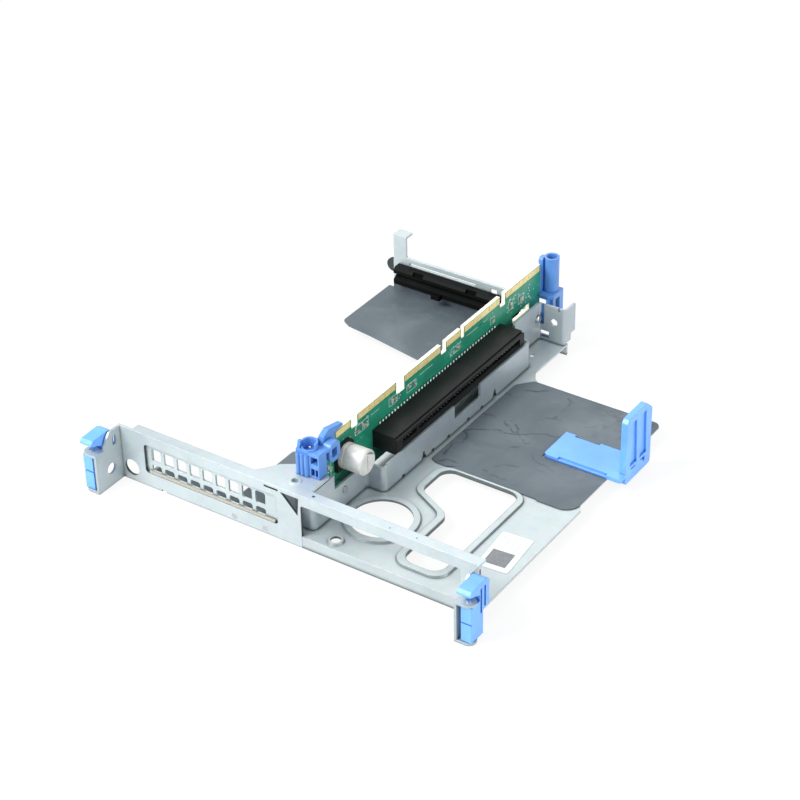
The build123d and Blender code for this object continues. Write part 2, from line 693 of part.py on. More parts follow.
def capacitor_can():
    """Turned can with a rolled groove and a rounded end."""
    x0 = CAP_BASE
    x1 = CAP_BASE + CAP_LENGTH
    can = rod_x(CAP_R, x0, x1, CAP_Y, CAP_Z)
    can = chamfer(can.edges().sort_by(Axis.X)[-1], CAP_EDGE)
    ring = rod_x(CAP_R + 1, x0 + 1.5, x0 + 2.5, CAP_Y, CAP_Z) - rod_x(CAP_R - CAP_GROOVE, x0, x1, CAP_Y, CAP_Z)
    can = can - ring
    score = block(x1 - 0.25, x1 + 1, CAP_Y - 0.2, CAP_Y + 0.2, CAP_Z - 3.4, CAP_Z + 3.4)
    return can - score


def capacitor_base():
    """Square moulded base with two cut corners."""
    half = CAP_R + 0.2
    points = [
        (CAP_Y - half, CAP_Z - half), (CAP_Y + half, CAP_Z - half), (CAP_Y + half, CAP_Z + half - 1.6),
        (CAP_Y + half - 1.6, CAP_Z + half), (CAP_Y - half + 1.6, CAP_Z + half), (CAP_Y - half, CAP_Z + half - 1.6),
    ]
    return side_view(points, 0.3, 0, CAP_BASE)


def board_components():
    """Small parts soldered on the component face."""
    places = [
        (19.6, 12.0, 1.4, 0.8), (19.6, 16.5, 1.2, 1.6), (38.6, 21.6, 1.6, 0.8), (41.4, 22.6, 0.9, 1.6),
        (44.0, 21.4, 1.6, 0.8), (60.4, 23.0, 1.6, 0.9), (63.2, 21.8, 0.9, 1.6), (72.0, 22.6, 1.6, 0.8),
        (76.0, 21.4, 0.9, 1.6), (102.6, 21.8, 1.6, 0.8), (105.8, 22.4, 1.6, 0.8), (131.0, 21.0, 1.6, 0.9),
        (144.6, 22.4, 1.6, 0.8), (144.6, 20.4, 1.6, 0.8), (152.0, 19.6, 2.4, 2.0),
    ]
    solids = [block(0, 0.6, y, y + w, z, z + h) for y, z, w, h in places]
    return Compound(solids)


def front_guide_clip():
    """Moulded clip on the gusset that guides the front end of the board."""
    foot = WALL_TOP + 0.05
    deck = BOARD_SHOULDER + 0.3
    top = deck + DECK
    front = 11.2
    back = BOARD_FRONT - 0.3
    body = block(CLIP_LEFT, CLIP_RIGHT, front, back, foot, top)
    for x in (-6.0, -4.2, -2.4):
        body = body + rod_z(1.0, foot, deck, x, front)
    for z0, z1 in ((foot + 0.8, 21.9), (23.9, 26.9)):
        body = body - block(-0.6, CLIP_RIGHT - 0.6, front - 1, back - 1, z0, z1)
    body = body + block(0.7, 1.2, front + 0.3, back - 0.5, foot, 22.4)
    plate = plan(
        [(CLIP_LEFT, 12.0), (CLIP_RIGHT, 13.6), (HOOK_RIGHT, 17.2), (HOOK_RIGHT, 21.0), (1.2, 22.0),
         (-3.4, 21.0), (-6.4, 17.0)], 0.8, deck, top)
    ring = rod_z(RING_R, deck, RING_TOP, RING_X, RING_Y)
    ring = ring - block(RING_X - 5, RING_X + 5, RING_Y - 5, RING_Y - 0.6, top + 0.4, RING_TOP + 1)
    hook = side_view(rect(17.0, 23.4, 21.6, 29.6), 2.4, 0.3, HOOK_RIGHT)
    hook = hook - side_view(rect(18.5, 21.5, 23.6, 27.2), 0.6, 1.2, HOOK_RIGHT + 1)
    prong = side_view([(11.6, deck), (14.0, deck), (13.6, RING_TOP), (12.6, RING_TOP)], 0, CLIP_LEFT, CLIP_LEFT + 1.2)
    left_arm = side_view(rect(14.0, 22.0, 20.6, top), 1.2, -BOARD_THICK - 2.6, -BOARD_THICK - 0.3)
    horn = side_view(
        [(17.0, top - 0.5), (FINGER_START - 0.4, deck + 0.4), (FINGER_START - 0.4, BOARD_TOP + 0.4),
         (30.0, BOARD_TOP + 0.8), (30.0, BOARD_TOP + 1.7), (21.6, 33.0), (18.4, 31.4)], 0, -BOARD_THICK - 0.4, 0.2)
    clip = body + plate + ring + hook + prong + left_arm + horn
    return clip - rod_z(RING_R - RING_WALL, top - 1.6, RING_TOP + 1, RING_X, RING_Y)


def rear_guide_post():
    """Moulded post on a hollow stand behind the bracket."""
    back = BRACKET_BACK + FIT_GAP
    board_end = BOARD_BACK + 0.3
    x0 = 0.4
    seat = block(x0, STAND_RIGHT, back, board_end, STAND_FOOT, STAND_FOOT + 6.2)
    sill = block(-1.0, STAND_RIGHT, board_end, STAND_BACK, STAND_FOOT, STAND_FOOT + STAND_WALL)
    rear = block(-1.0, STAND_RIGHT, STAND_BACK - STAND_WALL, STAND_BACK, STAND_FOOT, STAND_TOP)
    right = block(STAND_RIGHT - STAND_WALL, STAND_RIGHT, board_end, STAND_BACK, STAND_FOOT, STAND_TOP)
    right = right - block(0, STAND_RIGHT + 1, POST_Y - 2.6, POST_Y + 0.6, STAND_FOOT + 2.0, STAND_TOP - 2.4)
    plate_points = [
        (x0, board_end - 1.9), (STAND_RIGHT - 1.6, board_end - 1.9), (STAND_RIGHT, board_end + 0.1),
        (STAND_RIGHT, STAND_BACK), (-1.0, STAND_BACK), (-1.0, board_end), (x0, board_end),
    ]
    plate = plan(plate_points, 0, STAND_TOP - STAND_WALL, STAND_TOP)
    post = rod_z(POST_R, STAND_TOP - 0.5, POST_TOP, POST_X, POST_Y)
    wing0 = POST_Y - POST_R - 0.5
    wing_points = [
        (wing0, STAND_TOP - 0.5), (POST_Y - 0.6, STAND_TOP - 0.5), (POST_Y - 0.6, POST_TOP),
        (wing0 + 0.6, POST_TOP), (wing0, POST_TOP - 1.0),
    ]
    wing = side_view(wing_points, 0, POST_X - POST_R - 1.0, POST_X - POST_R + 0.8)
    stand = seat + sill + rear + right + plate + post + wing
    return stand - rod_z(POST_R - 1.0, POST_TOP - 7.6, POST_TOP + 1, POST_X, POST_Y)


def latch(side):
    """End latch that swings outward on its pin beside an ear, for side -1 or 1."""
    gap = LATCH_END_GAP
    bottom = -LIP_DROP + SHEET + gap
    lug_low = EAR_STEP_Z - SHEET - gap
    web = PIVOT_Y + LUG_HALF + 3 * gap
    x0, x1 = beside(side, LATCH_GAP, LATCH_REACH)
    lever = side_view(
        [(web, LATCH_WAIST), (LATCH_BACK, LATCH_WAIST), (LATCH_BACK, LATCH_TOP - 1.4), (-5.0, LATCH_TOP),
         (LATCH_NOSE + 1.6, LATCH_TOP - 0.2), (LATCH_NOSE, LATCH_TOP - 2.0), (-12.4, LATCH_TOP - 3.0),
         (web, LATCH_TOP - 4.6)], 0.6, x0, x1)
    shoe_x = beside(side, PIVOT_OUT - SHOE_INNER, PIVOT_OUT + SHOE_OUTER)
    shoe = block(*shoe_x, PIVOT_Y - SHOE_FRONT, web + 2.0, bottom, lug_low)
    shoe = shoe - block(*shoe_x, PIVOT_Y - SHOE_FRONT - 1, PIVOT_Y - SHOE_FRONT + 0.4, 3.6, 4.2)
    body = lever + shoe
    face = ear_face(side) + side * LATCH_REACH
    for y, z0 in ((-5.2, LATCH_WAIST + 1.6), (-7.6, LATCH_WAIST)):
        groove = sorted((face - side * 1.1, face + side))
        body = body - block(*groove, y - 0.5, y + 0.5, z0 - 1, LATCH_TOP - 2.6)
    pin_room = rod_z(PIVOT_R + PIVOT_CLEARANCE, bottom - 1, lug_low + 1, pivot_x(side), PIVOT_Y)
    return body - pin_room


def latch_pivots():
    """Upright pins that carry the two latches."""
    return Compound([
        rod_z(PIVOT_R, -LIP_DROP, EAR_STEP_Z + PIVOT_RISE, pivot_x(side), PIVOT_Y)
        for side in (-1, 1)
    ])


def card_support_slider():
    """Sliding support with a plate, two runners and a ribbed upright."""
    z0 = SLIDER_GAP
    z1 = SLIDER_GAP + SLIDER_PLATE
    plate = plan(
        [(SLIDER_X0, SLIDER_Y0 + 1.0), (SLIDER_X0 + 1.4, SLIDER_Y0), (SLIDER_X1, SLIDER_Y0),
         (SLIDER_X1, SLIDER_Y1), (SLIDER_X0, SLIDER_Y1)], 0.5, z0, z1)
    groove = block(SLIDER_X0 + 6.0, SLIDER_X1 - 6.0, SLIDER_Y0 - 1, SLIDER_Y0 + 1.3, z0 + 0.9, z1 + 1)
    rear_groove = block(SLIDER_X0 + 4.4, SLIDER_X0 + 15.0, SLIDER_Y1 - 1.2, SLIDER_Y1 + 1, z0 - 1, z1 + 1)
    upright = side_view(
        [(UPRIGHT_Y0, -3.0), (UPRIGHT_Y1, -3.0), (UPRIGHT_Y1, UPRIGHT_TOP - 4.0), (UPRIGHT_Y1 - 4.4, UPRIGHT_TOP),
         (UPRIGHT_Y0 + 1.6, UPRIGHT_TOP), (UPRIGHT_Y0, UPRIGHT_TOP - 1.6)],
        1.2, SLIDER_X1 - UPRIGHT_THICK, SLIDER_X1)
    face = SLIDER_X1 - 0.8
    for start in (UPRIGHT_Y0 + 3.4, UPRIGHT_Y0 + 10.6):
        flute = side_view(
            [(start, 3.4), (start + 5.0, 3.4), (start + 3.9, UPRIGHT_TOP - 3.0), (start + 1.4, UPRIGHT_TOP - 3.0)],
            0, face, SLIDER_X1 + 1)
        upright = upright - flute
        upright = upright - block(face - 0.3, SLIDER_X1 + 1, start + 0.8, start + 4.2, 0.2, 2.2)
    body = plate - groove - rear_groove + upright
    for side in (-1, 1):
        middle = runner_y(side)
        half = RUNNER_WIDTH / 2
        end = RUNNER_X0 + RUNNER_LENGTH
        under = -SHEET - SLIDER_GAP
        runner = block(RUNNER_X0, end, middle - half, middle + half, under - FOOT, z1)
        foot0 = middle - half - (1.0 if side < 0 else 0)
        foot1 = middle + half + (1.0 if side > 0 else 0)
        foot = block(RUNNER_X0, end, foot0, foot1, under - FOOT, under)
        body = body + runner + foot
    return body


def right_insulator():
    """Dark film over the back of the tray, open round the slider."""
    points = [
        (14.8, FILM_FRONT + 1.2), (18.0, FILM_FRONT), (60.8, FILM_FRONT), (61.8, FILM_FRONT - 0.6),
        (FILM_RIGHT, FILM_FRONT - 0.6), (FILM_RIGHT, SLIDER_Y0 - 0.4),
        (SLIDER_X0 - 0.6, SLIDER_Y0 - 0.4), (SLIDER_X0 - 0.6, SLIDER_Y1 + 0.6),
        (FILM_RIGHT, SLIDER_Y1 + 0.6), (FILM_RIGHT, FILM_BACK), (20.0, FILM_BACK), (14.8, 125.0),
    ]
    radii = [1.0, 0.6, 0.4, 0.4, 6.0, 0.4, 0.3, 0.3, 0.4, 3.0, 2.0, 2.0]
    film = Pos(0, 0, 0.02) * extrude(make_face(FilletPolyline(*points, radius=radii, close=True)), FILM)
    return film


def left_insulator():
    """Dark film that runs out from the rear rail and is folded up against it."""
    back = TRAY_END - FIT_GAP
    front = back - LEFT_FILM_LENGTH
    right = TRAY_LEFT - 0.4
    points = [
        (LEFT_FILM_X, front + LEFT_FILM_SLANT), (LEFT_FILM_X + 4.4, front + 0.8 * LEFT_FILM_SLANT),
        (LEFT_FILM_X + 16.4, front + 0.67 * LEFT_FILM_SLANT), (LEFT_FILM_X + 43.4, front + 0.27 * LEFT_FILM_SLANT),
        (right, front), (right, back), (LEFT_FILM_X, back),
    ]
    radii = [2.5, 3.0, 2.0, 2.0, 0.4, 0.4, 0.4]
    film = Pos(0, 0, 0.02) * extrude(make_face(FilletPolyline(*points, radius=radii, close=True)), FILM)
    return film + block(TAB_LEFT, right, back - FILM, back, 0.02, LEFT_FILM_RISE)


def corner_insulator():
    """Small dark film on the front corner of the tray."""
    return plan(rect(CORNER_LEFT + 0.6, -5.0, 8.0, CORNER_BACK - 0.6), 1.5, 0.02, 0.02 + FILM)


def blank_label():
    """Plain label on the tray."""
    face = outline(rect(-LABEL_W / 2, LABEL_W / 2, -LABEL_L / 2, LABEL_L / 2), 0.6)
    return Pos(LABEL_X, LABEL_Y, 0.01) * Rot(0, 0, LABEL_TURN) * extrude(face, LABEL_THICK)


def hex_spacer(y, z):
    """A hexagonal spacer along X between the board and the bracket wall."""
    face = Plane((0, y, z), x_dir=(0, 1, 0), z_dir=(1, 0, 0)) * RegularPolygon(STANDOFF_R, 6)
    return extrude(face, BRACKET_X - SHEET)


def board_standoffs():
    """Spacers between the bracket wall and the board."""
    return Compound([
        hex_spacer(y, z) - rod_x(SCREW_R + 0.05, -1, BRACKET_X, y, z)
        for y, z in STANDOFFS
    ])


def board_screws():
    """Screws that hold the board to the bracket wall."""
    screws = []
    for y, z in STANDOFFS:
        shank = rod_x(SCREW_R, -BOARD_THICK - 0.5, BRACKET_X + 0.6, y, z)
        head = rod_x(SCREW_HEAD_R, -BOARD_THICK - SCREW_HEAD - 0.02, -BOARD_THICK - 0.02, y, z)
        screws.append(shank + head)
    return Compound(screws)


def rivet(x, y0, y1, flush):
    """A rivet along Y through the sheets between y0 and y1."""
    body = rod_y(RIVET_R, y0, y1, x, RIVET_Z) + rod_y(RIVET_HEAD_R, y1, y1 + RIVET_HEAD, x, RIVET_Z)
    if flush:
        return body
    return body + rod_y(RIVET_HEAD_R, y0 - RIVET_HEAD, y0, x, RIVET_Z)


def rivets():
    """Rivets that join the rear wall and the rear rail to the tray."""
    items = [rivet(x, 0, 2 * SHEET + FIT_GAP, True) for x in WALL_RIVETS]
    items += [rivet(x, TRAY_END - SHEET, TRAY_END + SHEET, False) for x in RAIL_RIVETS]
    return Compound(items)


PIECES = {
    "base_tray": base_tray,
    "board_bracket": board_bracket,
    "io_wall": io_wall,
    "rear_rail": rear_rail,
    "blank_filler": blank_filler,
    "emi_gasket": emi_gasket,
    "riser_board": riser_board,
    "edge_contacts": edge_contacts,
    "slot_housing": slot_housing,
    "slot_contacts": slot_contacts,
    "capacitor_can": capacitor_can,
    "capacitor_base": capacitor_base,
    "board_components": board_components,
    "front_guide_clip": front_guide_clip,
    "rear_guide_post": rear_guide_post,
    "left_latch": lambda: latch(-1),
    "right_latch": lambda: latch(1),
    "latch_pivots": latch_pivots,
    "card_support_slider": card_support_slider,
    "card_guide": card_guide,
    "right_insulator": right_insulator,
    "left_insulator": left_insulator,
    "corner_insulator": corner_insulator,
    "blank_label": blank_label,
    "board_standoffs": board_standoffs,
    "board_screws": board_screws,
    "rivets": rivets,
}

os.makedirs("parts", exist_ok=True)
to_datum = Pos(-HOLE_X, -HOLE_Y, 0)
for name, make in PIECES.items():
    export_step(to_datum * make(), f"parts/{name}.step")
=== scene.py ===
import math
import random

import bpy
import bmesh
from mathutils import Matrix, Vector


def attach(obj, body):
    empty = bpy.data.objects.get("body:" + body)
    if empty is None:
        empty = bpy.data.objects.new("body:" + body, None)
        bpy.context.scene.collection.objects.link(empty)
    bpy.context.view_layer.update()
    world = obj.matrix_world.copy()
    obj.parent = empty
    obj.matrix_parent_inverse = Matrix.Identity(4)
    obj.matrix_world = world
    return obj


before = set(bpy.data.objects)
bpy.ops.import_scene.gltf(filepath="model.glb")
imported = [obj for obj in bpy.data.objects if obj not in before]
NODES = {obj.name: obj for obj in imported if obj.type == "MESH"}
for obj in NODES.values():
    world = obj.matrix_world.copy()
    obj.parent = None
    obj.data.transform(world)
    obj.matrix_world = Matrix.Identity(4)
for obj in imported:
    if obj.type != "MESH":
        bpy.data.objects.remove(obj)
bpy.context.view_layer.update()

# Places are in the working millimetres of the model unless a name says otherwise.
# The datum hole stands here in them, and the scene has its origin there.
DATUM = {"X": 14.2, "Y": 4.3, "Z": 0.0}
FLOOR_Z = -5.0

# Finishes of the sheet metal, and colours of painted shade for its cut edges, ears and bead
# flanks
WALL_INNER_Y = 1.0
WALL_OUTER_Y = -0.04
WALL_EDGE_TOP = 16.0
EARS_BEYOND_Y = -0.62
EAR_SHADE = 0.40
RAIL_END_X = -68.1
TRAY_EDGES = (("X", 5.0, 62.0), ("Y", 1.4, 66.0))
TRAY_EDGE_BOTTOM = -1.3
TRAY_RAISED = 0.04
EDGE_SOFT = 0.2
NARROW = 0.1
# Painted shade for the cut edges of the wall's openings, as if they were in shadow
WALL_EDGE_PAINTED_SHADE = (0.07, 0.085, 0.09)
# Painted shade for the ears, which stand in shade
EAR_PAINTED_SHADE = (0.28, 0.33, 0.35)
RAIL_END_COLOUR = (0.045, 0.055, 0.060)
# Painted shade for the tray's cut edges, as if they were in shadow
TRAY_EDGE_PAINTED_SHADE = (0.11, 0.13, 0.135)
# Painted shade for the steep outer flanks of the beads
BEAD_FLANK_PAINTED_SHADE = (0.14, 0.165, 0.17)
NONE = (0, 0, 0)
FULL = (1, 1, 1)

# Films, fingers and contacts
FILM_WRINKLES_X = -5.8
FILM_WRINKLES_REACH = 80.0
FILM_WORN_X = 26.2
FILM_WORN_REACH = 12.0
SCUFF_COLOUR = (0.26, 0.30, 0.32)
FINGER_PITCH = 1.0
FINGER_BARE = 2.7
CONTACT_TAILS_X = 0.9

# Solder joints above the card slot
JOINT_START = 53.0
JOINT_PITCH = 2.0
JOINT_COUNT = 41
JOINT_X = 0.28
JOINT_Z = 18.05
JOINT_SIZE = (0.42, 0.44, 0.66)

# Printed outlines on the board as y, z, width and height, and ticks as y and width
SILK_X = (0.006, 0.022)
SILK_LINE = 0.16
SILK_FRAMES = [
    (19.0, 11.2, 3.2, 8.6), (37.8, 20.6, 8.4, 4.0), (59.6, 20.9, 5.6, 3.6),
    (71.4, 20.6, 6.4, 3.4), (101.8, 20.9, 6.4, 3.0), (130.2, 20.2, 3.4, 2.8),
    (143.8, 19.6, 3.4, 4.4), (151.2, 18.8, 4.2, 3.8),
]
SILK_TICKS = ((48.0, 5.0), (80.0, 9.0), (113.0, 12.0), (121.0, 7.0))
SILK_TICK_Z = 24.1

# Bare pads in groups of y, z, width, height and count
PAD_SEED = 11
PAD_X = (0.004, 0.03)
PAD_SIDES = (0.7, 0.35)
PAD_GROUPS = [
    (19.0, 11.0, 6.0, 7.0, 12), (36.5, 20.8, 9.0, 4.0, 16), (60.0, 20.6, 7.0, 3.4, 10),
    (72.0, 20.4, 8.0, 3.4, 8), (101.0, 20.6, 8.0, 3.2, 10), (141.0, 19.0, 8.0, 6.0, 20),
    (151.0, 17.0, 12.0, 7.0, 16),
]

# Printed segment on the end of the can
CAN_Y = 29.4
CAN_Z = 18.0
CAN_FACE = 11.195
MARK_RADIUS = 4.2
MARK_THICK = 0.02
MARK_FROM = 20
MARK_SWEEP = 80
MARK_STEPS = 18

# Label fields: the square from the label's centre, the bars as offset and length
LABEL_CENTRE = (68.2, 31.0)
LABEL_TURN = math.radians(5.0)
LABEL_TOP = 0.134
INK_THICK = 0.012
SQUARE_X = (-4.6, 4.0)
SQUARE_Y = (-8.2, 0.2)
LABEL_BARS = ((-4.2, 7.0), (-2.0, 6.2), (0.4, 7.4), (2.6, 5.6))
LABEL_BAR_WIDTH = 0.5
LABEL_BAR_START = 1.8

# Bead of the tray's long cut-out: its section runs as share of the width and height
BOOT_LEFT = 22.8
BOOT_RIGHT = 55.8
BOOT_HEEL = 39.5
BOOT_FRONT = 7.5
BOOT_BACK = 62.9
BOOT_BACK_BEAD = 0.9
BOOT_KINK_LOW = 38.0
BOOT_KINK_HIGH = 46.5
BOOT_KINK_GROWTH = 0.4
BEAD_WIDTH = 2.9
BEAD_OUTER_CORNER = 6.0
BEAD_INNER_CORNER = 5.0
BEAD_SECTION = ((1.0, -0.05), (1.0, 0.02), (0.86, 0.80), (0.10, 0.80), (0.0, 0.66), (0.02, -0.05))

# Dark film sheet on the shelf that paints the shade behind the filler, spots on the bar and screw
# boss on the bracket; the boss's section runs as share of its thickness and radius
SHELF_SHADE_SHEET = (-67.6, -14.0, 2.3, 8.4, 0.02, 0.22)
BAR_DOTS = ((39.8, 1.4), (50.8, 1.6))
BAR_TOP = 18.0
DOT_RADIUS = 0.42
DOT_RISE = 0.05
BOSS_FACE = 4.98
BOSS_THICK = 0.55
BOSS_Y = 159.2
BOSS_Z = 9.9
BOSS_SECTION = ((0.0, 1.55), (0.5, 1.45), (1.0, 1.05), (1.0, 0.6), (0.0, 0.55))
BOSS_STEPS = 20

# Floor, surround, lights and camera; sizes of the floor and lights are in metres
FLOOR_SIZE = 6.0
FLOOR_DROP = 0.02
FLOOR_COLOUR = (0.86, 0.87, 0.87, 1)
FLOOR_GLOW = 0.88
SKY_COLOUR = (0.95, 0.98, 1.0, 1)
SKY_BRIGHT = (-0.35, -0.62, 0.70)
SKY_LEVELS = (("From Min", -0.55), ("From Max", 0.85), ("To Min", 0.10), ("To Max", 0.95))
LIGHTS = (
    ("key", (-350, -450, 650), (0, 80, 0), 0.4, 8.2),
    ("back", (-200, 700, 500), (0, 80, 0), 0.6, 1.5),
    ("side", (700, 60, 260), (20, 80, 10), 0.5, 2.6),
)
CAMERA_PLACE = (388.6, -496.7, 470.2)
CAMERA_TURN = 34.59
CAMERA_LIFT = 33.315
CAMERA_ROLL = -1.19
CAMERA_SENSOR = 36.0
CAMERA_LENS = 99.0
CAMERA_CLIP = 0.01


def local(name, place):
    """A place on one working axis, in scene metres."""
    return (place - DATUM[name]) / 1000


def at(x, y, z):
    """A point given in the model's working millimetres, in scene metres."""
    return Vector((local("X", x), local("Y", y), local("Z", z)))


class Nodes:
    """Builds the node tree of a material or a world from nothing."""

    def __init__(self, owner):
        owner.use_nodes = True
        self.tree = owner.node_tree
        self.tree.nodes.clear()

    def node(self, kind, **values):
        node = self.tree.nodes.new(kind)
        for key, value in values.items():
            setattr(node, key, value)
        return node

    def link(self, source, target):
        self.tree.links.new(source, target)

    def math(self, operation, a, b=None, clamp=False):
        node = self.node("ShaderNodeMath", operation=operation, use_clamp=clamp)
        for socket, value in zip(node.inputs, (a, b)):
            if value is None:
                continue
            if isinstance(value, (int, float)):
                socket.default_value = value
            else:
                self.link(value, socket)
        return node.outputs[0]

    def product(self, a, b):
        return self.math("MULTIPLY", a, b)


class Shade(Nodes):
    """One material around a principled shader."""

    def __init__(self, name):
        self.mat = bpy.data.materials.new(name)
        super().__init__(self.mat)
        out = self.node("ShaderNodeOutputMaterial")
        self.bsdf = self.node("ShaderNodeBsdfPrincipled")
        self.link(self.bsdf.outputs[0], out.inputs["Surface"])
        self.place = self.node("ShaderNodeTexCoord")
        self.coord = self.place.outputs["Object"]

    def set(self, **values):
        """Constants of the shader, by input name."""
        for key, value in values.items():
            self.bsdf.inputs[key.replace("_", " ")].default_value = value

    def feed(self, **sources):
        """Textures that drive the shader, by input name."""
        for key, source in sources.items():
            self.link(source, self.bsdf.inputs[key.replace("_", " ")])

    def mapped(self, scale, rotation=(0, 0, 0)):
        node = self.node("ShaderNodeMapping")
        node.inputs["Scale"].default_value = scale
        node.inputs["Rotation"].default_value = rotation
        self.link(self.coord, node.inputs["Vector"])
        return node.outputs[0]

    def texture(self, kind, vector=None, inputs=(), **values):
        """A texture node that reads the piece's own coordinates."""
        node = self.node(kind, **values)
        for key, value in inputs:
            node.inputs[key].default_value = value
        self.link(vector or self.coord, node.inputs["Vector"])
        return node

    def noise(self, scale, detail=4.0, rough=0.6, vector=None, distortion=0.0):
        inputs = (("Scale", scale), ("Detail", detail), ("Roughness", rough),
                  ("Distortion", distortion))
        return self.texture("ShaderNodeTexNoise", vector, inputs).outputs["Fac"]

    def voronoi(self, scale, feature="F1", vector=None, out="Distance"):
        node = self.texture("ShaderNodeTexVoronoi", vector, (("Scale", scale),), feature=feature)
        return node.outputs[out]

    def ramp(self, source, stops):
        node = self.node("ShaderNodeValToRGB")
        while len(node.color_ramp.elements) < len(stops):
            node.color_ramp.elements.new(0.5)
        for element, (place, value) in zip(node.color_ramp.elements, stops):
            element.position = place
            element.color = (*value, 1)
        self.link(source, node.inputs["Fac"])
        return node.outputs["Color"]

    def rise(self, source, start, end):
        """A mask that grows from none to full between two levels."""
        return self.ramp(source, [(start, NONE), (end, FULL)])

    def fall(self, source, start, end):
        """A mask that fades from full to none between two levels."""
        return self.ramp(source, [(start, FULL), (end, NONE)])

    def span(self, source, low, high, start=0.0, end=1.0):
        node = self.node("ShaderNodeMapRange")
        node.inputs["From Min"].default_value = start
        node.inputs["From Max"].default_value = end
        node.inputs["To Min"].default_value = low
        node.inputs["To Max"].default_value = high
        self.link(source, node.inputs["Value"])
        return node.outputs[0]

    def mix(self, factor, a, b, blend="MIX"):
        node = self.node("ShaderNodeMix", data_type="RGBA", blend_type=blend)
        for index, value in ((0, factor), (6, a), (7, b)):
            socket = node.inputs[index]
            if isinstance(value, (int, float)):
                socket.default_value = value
            elif isinstance(value, tuple):
                socket.default_value = (*value, 1)
            else:
                self.link(value, socket)
        return node.outputs[2]

    def paint_crease_shade(self, colour, shade, reach, low, high):
        """Paints shade into a colour in narrow corners and contact lines, where shadow falls."""
        node = self.node("ShaderNodeAmbientOcclusion", samples=8)
        node.inputs["Distance"].default_value = reach
        return self.mix(self.span(node.outputs["AO"], 0.0, 1.0, low, high), shade, colour)

    def part(self, vector, name):
        """One coordinate of a vector."""
        node = self.node("ShaderNodeSeparateXYZ")
        self.link(vector, node.inputs[0])
        return node.outputs[name]

    def above(self, name, place, soft):
        """A mask that is full beyond a place on one working axis."""
        start = local(name, place)
        return self.span(self.part(self.coord, name), 0.0, 1.0, start, start + soft / 1000)

    def below(self, name, place, soft):
        """A mask that is full before a place on one working axis."""
        start = local(name, place)
        return self.span(self.part(self.coord, name), 1.0, 0.0, start, start + soft / 1000)

    def facing(self, name):
        """How squarely a face looks along one axis, from 0 to 1."""
        return self.math("ABSOLUTE", self.part(self.place.outputs["Normal"], name))

    def bump(self, height, strength, distance, edge=0.0):
        node = self.node("ShaderNodeBump")
        node.inputs["Strength"].default_value = strength
        node.inputs["Distance"].default_value = distance
        self.link(height, node.inputs["Height"])
        if edge:
            bevel = self.node("ShaderNodeBevel", samples=4)
            bevel.inputs["Radius"].default_value = edge
            self.link(bevel.outputs[0], node.inputs["Normal"])
        self.feed(Normal=node.outputs[0])


def wall_edges(s, colour):
    """Painted shade on the cut edges of the wall's openings, and painted shade on the ears, which
    stand in shade.
    """
    openings = s.product(s.below("Y", WALL_INNER_Y, 0.05), s.below("Z", WALL_EDGE_TOP, EDGE_SOFT))
    openings = s.product(openings, s.above("Y", WALL_OUTER_Y, 0.02))
    # Painted shade on the cut edges, which face sideways into shadow
    colour = s.mix(s.product(s.fall(s.facing("Y"), 0.30, 0.45), openings), colour, WALL_EDGE_PAINTED_SHADE)
    # Painted shade: the ears are darkened because they stand in shade
    ears = s.product(s.below("Y", EARS_BEYOND_Y, EDGE_SOFT), EAR_SHADE)
    return s.mix(ears, colour, EAR_PAINTED_SHADE)


def rail_end(s, colour):
    """The dark end of the rail."""
    return s.mix(s.below("X", RAIL_END_X, NARROW), colour, RAIL_END_COLOUR)


def tray_edges(s, colour):
    """Painted shade on the cut edges and the sloped bead flanks around the tray's cut-outs, and
    deeper painted shade in its corners.
    """
    in_floor = s.above("Z", TRAY_EDGE_BOTTOM, NARROW)
    for name, low, high in TRAY_EDGES:
        in_floor = s.product(in_floor, s.above(name, low, EDGE_SOFT))
        in_floor = s.product(in_floor, s.below(name, high, EDGE_SOFT))
    # Painted shade on the cut edges of the tray's openings
    colour = s.mix(s.product(s.fall(s.facing("Z"), 0.30, 0.45), in_floor), colour, TRAY_EDGE_PAINTED_SHADE)
    # Painted shade on the steep outer flanks of the raised beads, which face away from the light
    sloped = s.ramp(s.facing("Z"), [(0.62, (0.55, 0.55, 0.55)), (0.75, NONE)])
    colour = s.mix(s.product(sloped, s.above("Z", TRAY_RAISED, 0.02)), colour, BEAD_FLANK_PAINTED_SHADE)
    # Deeper painted shade in the tray's corners and along its contact lines
    return s.paint_crease_shade(colour, (0.12, 0.145, 0.15), reach=0.0020, low=0.60, high=0.92)


def zinc_sheet(name, grain, tint=(0.53, 0.60, 0.62), finish_and_shade=None):
    """Zinc-plated sheet: rolled grain, faint blotches and fine scratches, with painted shade in
    its corners and contact lines.
    """
    s = Shade(name)
    s.set(Metallic=0.45, Specular_IOR_Level=0.4)
    blotch = s.noise(55.0, 5.0, 0.62)
    roll = s.noise(900.0, 3.0, 0.6, vector=s.mapped(grain))
    spangle = s.voronoi(420.0, out="Color")
    dark = tuple(c * 0.88 for c in tint)
    light = tuple(min(1.0, c * 1.07) for c in tint)
    colour = s.ramp(blotch, [(0.32, dark), (0.55, tint), (0.75, light)])
    colour = s.mix(s.span(roll, 0.0, 0.30), colour, light)
    colour = s.mix(0.035, colour, spangle, "OVERLAY")
    # Painted shade in the sheet's corners and contact lines
    colour = s.paint_crease_shade(colour, (0.08, 0.10, 0.105), reach=0.0015, low=0.30, high=0.78)
    # Per part: painted shade on the cut edges of the wall and the tray, and the rail's own dark
    # end
    if finish_and_shade:
        colour = finish_and_shade(s, colour)
    rough = s.math("ADD", s.span(blotch, 0.30, 0.46), s.span(roll, -0.05, 0.05))
    s.feed(Base_Color=colour, Roughness=rough)
    scratch = s.noise(140.0, 2.0, 0.5, vector=s.mapped((1.0, 14.0, 3.0), (0.3, 0.1, 0.7)))
    s.bump(s.math("ADD", roll, s.product(scratch, 0.6)), 0.12, 0.0002, edge=0.00022)
    return s.mat


def deepened(tones, depth):
    """Ramp stops with their colours made deeper or lighter by one factor."""
    return [(place, tuple(min(1.0, depth * c) for c in tone)) for place, tone in tones]


